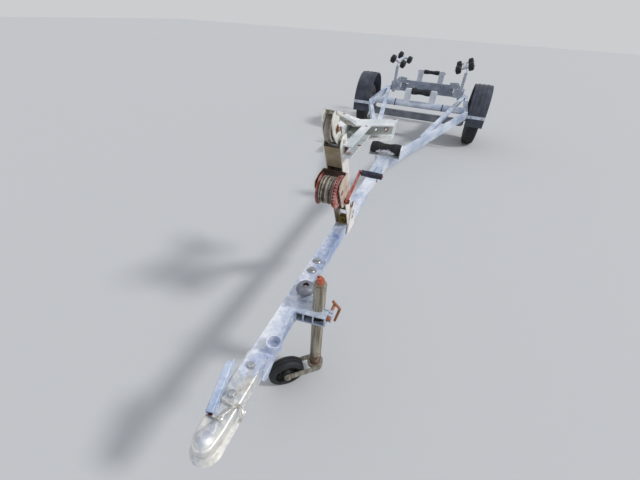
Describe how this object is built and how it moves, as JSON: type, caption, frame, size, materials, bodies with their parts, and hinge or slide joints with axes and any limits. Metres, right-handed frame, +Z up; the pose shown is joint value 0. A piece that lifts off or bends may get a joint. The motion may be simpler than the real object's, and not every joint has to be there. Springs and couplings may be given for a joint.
{
  "type": "boat trailer",
  "caption": "Galvanised single-axle boat trailer with V frame, winch post with geared hand winch, bow stop, keel rollers, swinging roller carriages, mudguards and jockey wheel.",
  "frame": {"origin": "on the ground under the middle of the trailer's outline, standing on its jockey wheel", "axes": "+X to the trailer's right seen from its nose, +Y from the coupling to the tail, +Z up"},
  "size_m": [1.66, 5.573, 1.084],
  "materials": {
    "galvanised_steel": "hot-dip galvanised, spangled, weathered",
    "wheel_steel": "galvanised wheel disc",
    "grey_iron": "dull grey casting",
    "rusty_steel": "bare steel, rusted",
    "red_paint": "old red paint, worn and rusty",
    "brass": "dull brass",
    "grey_rope": "weathered rope",
    "black_rubber": "matt rubber",
    "tyre_rubber": "road tyre",
    "black_plastic": "grained polypropylene"
  },
  "bodies": {
    "trailer": {"drawbar": "galvanised_steel", "coupling_head": "galvanised_steel", "coupling_handle": "galvanised_steel", "coupling_catch": "galvanised_steel", "holder_tube": "galvanised_steel", "drawbar_bolts": "galvanised_steel", "jockey_clamp": "galvanised_steel", "winch_post": "galvanised_steel", "winch_frame": "galvanised_steel", "post_head": "galvanised_steel", "bow_yoke": "galvanised_steel", "v_arm_right": "galvanised_steel", "v_arm_left": "galvanised_steel", "side_rails": "galvanised_steel", "brace_struts": "galvanised_steel", "drawbar_sleeve": "galvanised_steel", "cross_tube": "galvanised_steel", "axle_beam": "galvanised_steel", "axle_brackets": "galvanised_steel", "trailing_arms": "galvanised_steel", "guard_straps": "galvanised_steel", "rear_beam": "galvanised_steel", "roller_beam": "galvanised_steel", "roller_posts": "galvanised_steel", "tail_spine": "galvanised_steel", "keel_bracket_front": "galvanised_steel", "keel_bracket_mid": "galvanised_steel", "keel_bracket_rear": "galvanised_steel", "keel_pins": "galvanised_steel", "domed_cap": "grey_iron", "clamp_handle": "rusty_steel", "post_block": "brass", "tube_rings": "black_rubber", "mudguards": "black_plastic"},
    "road_wheel_right": {"tyre_right": "tyre_rubber", "wheel_right": "wheel_steel", "hub_right": "grey_iron"},
    "road_wheel_left": {"tyre_left": "tyre_rubber", "wheel_left": "wheel_steel", "hub_left": "grey_iron"},
    "jockey_outer": {"jockey_tube": "galvanised_steel", "jockey_crown": "red_paint"},
    "jockey_inner": {"jockey_inner": "galvanised_steel"},
    "jockey_caster": {"jockey_fork": "galvanised_steel"},
    "jockey_wheel": {"jockey_wheel": "black_rubber"},
    "winch_drum": {"winch_drum": "red_paint", "wound_rope": "grey_rope"},
    "winch_pinion": {"winch_pinion": "rusty_steel", "winch_crank": "red_paint", "crank_grip": "black_rubber"},
    "head_pulley": {"head_pulley": "galvanised_steel"},
    "keel_roller_front": {"keel_roller_front": "black_rubber"},
    "keel_roller_mid": {"keel_roller_mid": "black_rubber"},
    "keel_roller_rear": {"keel_roller_rear": "black_rubber"},
    "swing_right": {"swing_bar_right": "galvanised_steel"},
    "swing_rollers_front_right": {"swing_rollers_front_right": "black_rubber"},
    "swing_rollers_back_right": {"swing_rollers_back_right": "black_rubber"},
    "swing_left": {"swing_bar_left": "galvanised_steel"},
    "swing_rollers_front_left": {"swing_rollers_front_left": "black_rubber"},
    "swing_rollers_back_left": {"swing_rollers_back_left": "black_rubber"}
  },
  "joints": [
    {"name": "wheel_spin_right", "type": "hinge", "parent": "trailer", "child": "road_wheel_right", "pos_m": [0.735, 1.6715, 0.285], "axis": [1, 0, 0], "continuous": true},
    {"name": "wheel_spin_left", "type": "hinge", "parent": "trailer", "child": "road_wheel_left", "pos_m": [-0.735, 1.6715, 0.285], "axis": [1, 0, 0], "continuous": true},
    {"name": "jockey_lift", "type": "slide", "parent": "trailer", "child": "jockey_outer", "axis": [0, 0, 1], "range_m": [0, 0.2]},
    {"name": "jockey_screw", "type": "slide", "parent": "jockey_outer", "child": "jockey_inner", "axis": [0, 0, 1], "range_m": [-0.12, 0]},
    {"name": "jockey_swivel", "type": "hinge", "parent": "jockey_inner", "child": "jockey_caster", "pos_m": [0.104, -2.2245, 0.088], "axis": [0, 0, 1], "continuous": true},
    {"name": "jockey_wheel_spin", "type": "hinge", "parent": "jockey_caster", "child": "jockey_wheel", "pos_m": [0.00439, -2.31263, 0.078], "axis": [0.6626, -0.749, 0], "continuous": true},
    {"name": "winch_drum_spin", "type": "hinge", "parent": "trailer", "child": "winch_drum", "pos_m": [0.002, -1.9065, 0.772], "axis": [1, 0, 0], "continuous": true},
    {"name": "winch_pinion_spin", "type": "hinge", "parent": "trailer", "child": "winch_pinion", "pos_m": [0, -1.85225, 0.70735], "axis": [1, 0, 0], "continuous": true},
    {"name": "pulley_spin", "type": "hinge", "parent": "trailer", "child": "head_pulley", "pos_m": [0, -1.9205, 1.017], "axis": [1, 0, 0], "continuous": true},
    {"name": "keel_spin_front", "type": "hinge", "parent": "trailer", "child": "keel_roller_front", "pos_m": [0, -0.5815, 0.51], "axis": [1, 0, 0], "continuous": true},
    {"name": "keel_spin_mid", "type": "hinge", "parent": "trailer", "child": "keel_roller_mid", "pos_m": [0, 1.5515, 0.568], "axis": [1, 0, 0], "continuous": true},
    {"name": "keel_spin_rear", "type": "hinge", "parent": "trailer", "child": "keel_roller_rear", "pos_m": [0, 2.7435, 0.66], "axis": [1, 0, 0], "continuous": true},
    {"name": "swing_tilt_right", "type": "hinge", "parent": "trailer", "child": "swing_right", "pos_m": [0.449, 2.3775, 0.832], "axis": [0.9397, 0, 0.342], "range_deg": [-18, 18]},
    {"name": "swing_spin_front_right", "type": "hinge", "parent": "swing_right", "child": "swing_rollers_front_right", "pos_m": [0.449, 2.0675, 0.832], "axis": [0.9397, 0, 0.342], "continuous": true},
    {"name": "swing_spin_back_right", "type": "hinge", "parent": "swing_right", "child": "swing_rollers_back_right", "pos_m": [0.449, 2.6875, 0.832], "axis": [0.9397, 0, 0.342], "continuous": true},
    {"name": "swing_tilt_left", "type": "hinge", "parent": "trailer", "child": "swing_left", "pos_m": [-0.449, 2.3775, 0.832], "axis": [0.9397, 0, -0.342], "range_deg": [-18, 18]},
    {"name": "swing_spin_front_left", "type": "hinge", "parent": "swing_left", "child": "swing_rollers_front_left", "pos_m": [-0.449, 2.0675, 0.832], "axis": [0.9397, 0, -0.342], "continuous": true},
    {"name": "swing_spin_back_left", "type": "hinge", "parent": "swing_left", "child": "swing_rollers_back_left", "pos_m": [-0.449, 2.6875, 0.832], "axis": [0.9397, 0, -0.342], "continuous": true}
  ],
  "couplings": [
    {"joint": "winch_pinion_spin", "follows": "winch_drum_spin", "ratio": -3.2}
  ]
}
